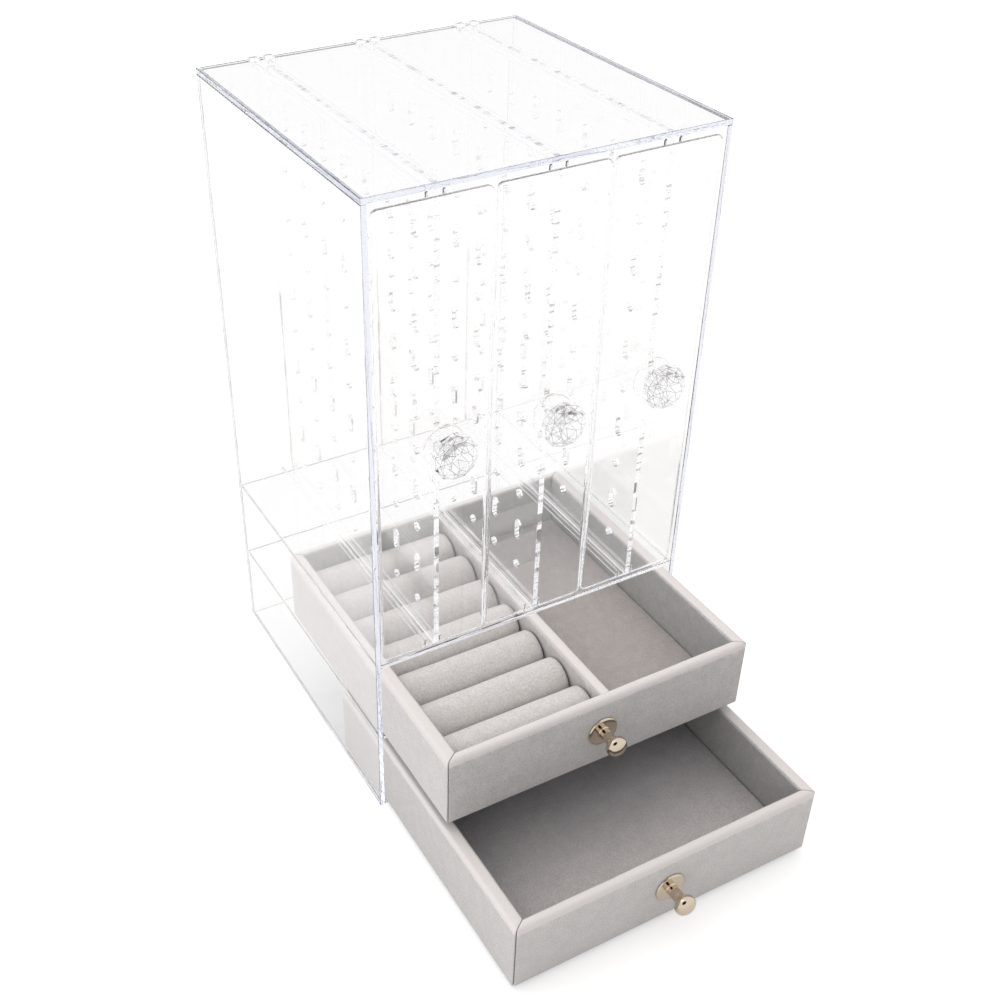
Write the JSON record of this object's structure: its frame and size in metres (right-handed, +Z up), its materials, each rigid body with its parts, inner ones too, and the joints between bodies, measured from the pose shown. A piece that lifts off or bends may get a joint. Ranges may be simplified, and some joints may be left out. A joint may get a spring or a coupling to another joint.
{
  "type": "earring display box with drawers",
  "caption": "Clear acrylic tower whose upright perforated earring boards slide out on faceted knobs, over velvet jewellery drawers with ring rolls",
  "frame": {"origin": "the middle of the case's square footprint, on the surface that it stands on", "axes": "+Z up; -Y is the way that every drawer pulls out, so the case's front is at -Y; +X is to the right of someone who faces the drawers"},
  "size_m": [0.158, 0.285, 0.3009],
  "materials": {
    "clear_acrylic": "polished",
    "crystal_acrylic": "polished",
    "velvet": "matte",
    "nickel": "polished",
    "screw_steel": "satin"
  },
  "bodies": {
    "case": {"top_panel": "clear_acrylic", "left_side": "clear_acrylic", "right_side": "clear_acrylic", "back_panel": "clear_acrylic", "mid_shelf": "clear_acrylic", "lower_shelf": "clear_acrylic", "base_panel": "clear_acrylic", "bottom_rails": "clear_acrylic", "top_rails": "clear_acrylic"},
    "left_earring_drawer": {"left_front_plate": "clear_acrylic", "left_earring_board": "clear_acrylic", "left_knob_disc": "clear_acrylic", "left_crystal_knob": "crystal_acrylic"},
    "centre_earring_drawer": {"centre_front_plate": "clear_acrylic", "centre_earring_board": "clear_acrylic", "centre_knob_disc": "clear_acrylic", "centre_crystal_knob": "crystal_acrylic"},
    "right_earring_drawer": {"right_front_plate": "clear_acrylic", "right_earring_board": "clear_acrylic", "right_knob_disc": "clear_acrylic", "right_crystal_knob": "crystal_acrylic"},
    "upper_drawer": {"upper_drawer_front_wall": "velvet", "upper_drawer_back_wall": "velvet", "upper_drawer_left_wall": "velvet", "upper_drawer_right_wall": "velvet", "upper_drawer_floor_board": "velvet", "upper_drawer_floor_pad": "velvet", "upper_drawer_knob_plate": "nickel", "upper_drawer_knob": "nickel", "upper_drawer_knob_screw": "screw_steel", "upper_drawer_divider": "velvet", "ring_roll_1": "velvet", "ring_roll_2": "velvet", "ring_roll_3": "velvet", "ring_roll_4": "velvet", "ring_roll_5": "velvet", "ring_roll_6": "velvet", "ring_roll_7": "velvet"},
    "lower_drawer": {"lower_drawer_front_wall": "velvet", "lower_drawer_back_wall": "velvet", "lower_drawer_left_wall": "velvet", "lower_drawer_right_wall": "velvet", "lower_drawer_floor_board": "velvet", "lower_drawer_floor_pad": "velvet", "lower_drawer_knob_plate": "nickel", "lower_drawer_knob": "nickel", "lower_drawer_knob_screw": "screw_steel"}
  },
  "joints": [
    {"name": "left_earring_slide", "type": "slide", "parent": "case", "child": "left_earring_drawer", "axis": [0, -1, 0], "range_m": [0, 0.13]},
    {"name": "centre_earring_slide", "type": "slide", "parent": "case", "child": "centre_earring_drawer", "axis": [0, -1, 0], "range_m": [0, 0.13]},
    {"name": "right_earring_slide", "type": "slide", "parent": "case", "child": "right_earring_drawer", "axis": [0, -1, 0], "range_m": [0, 0.13]},
    {"name": "upper_drawer_slide", "type": "slide", "parent": "case", "child": "upper_drawer", "axis": [0, -1, 0], "range_m": [-0.058, 0.082]},
    {"name": "lower_drawer_slide", "type": "slide", "parent": "case", "child": "lower_drawer", "axis": [0, -1, 0], "range_m": [-0.113, 0.027]}
  ]
}
